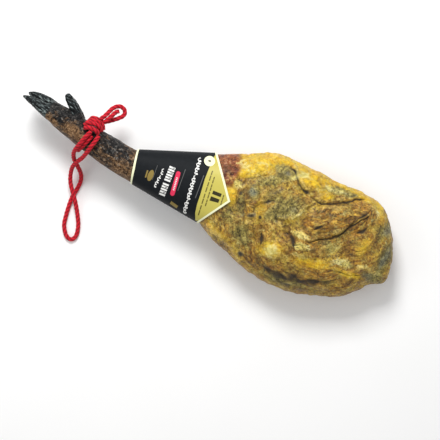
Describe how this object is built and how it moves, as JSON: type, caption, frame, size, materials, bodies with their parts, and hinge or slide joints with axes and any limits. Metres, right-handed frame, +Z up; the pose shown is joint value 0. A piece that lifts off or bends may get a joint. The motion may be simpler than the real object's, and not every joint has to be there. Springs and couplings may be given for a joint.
{
  "type": "cured ham leg",
  "caption": "Whole cured ham leg with its trotter, lying on its side, with a card sleeve round the shank and a rope loop tied at the ankle.",
  "frame": {"origin": "on the surface that the leg lies on, under the middle of the leg's length and width", "axes": "+X from the trotter to the rump, +Y to the fat back of the leg, +Z up from the surface, out of the inner side of the leg"},
  "size_m": [0.8165, 0.3206, 0.1259],
  "materials": {
    "cured_ham": "semi-gloss, greasy fat and dry lean, with grey-green mould and a black horn trotter",
    "printed_card": "glossy laminated card, black with a gold field and a cream border",
    "red_rope": "matt three-strand twisted cord"
  },
  "bodies": {
    "root": {"ham_leg": "cured_ham", "label_sleeve": "printed_card", "rope_hitch": "red_rope", "rope_loop": "red_rope", "rope_tail": "red_rope"}
  },
  "joints": []
}
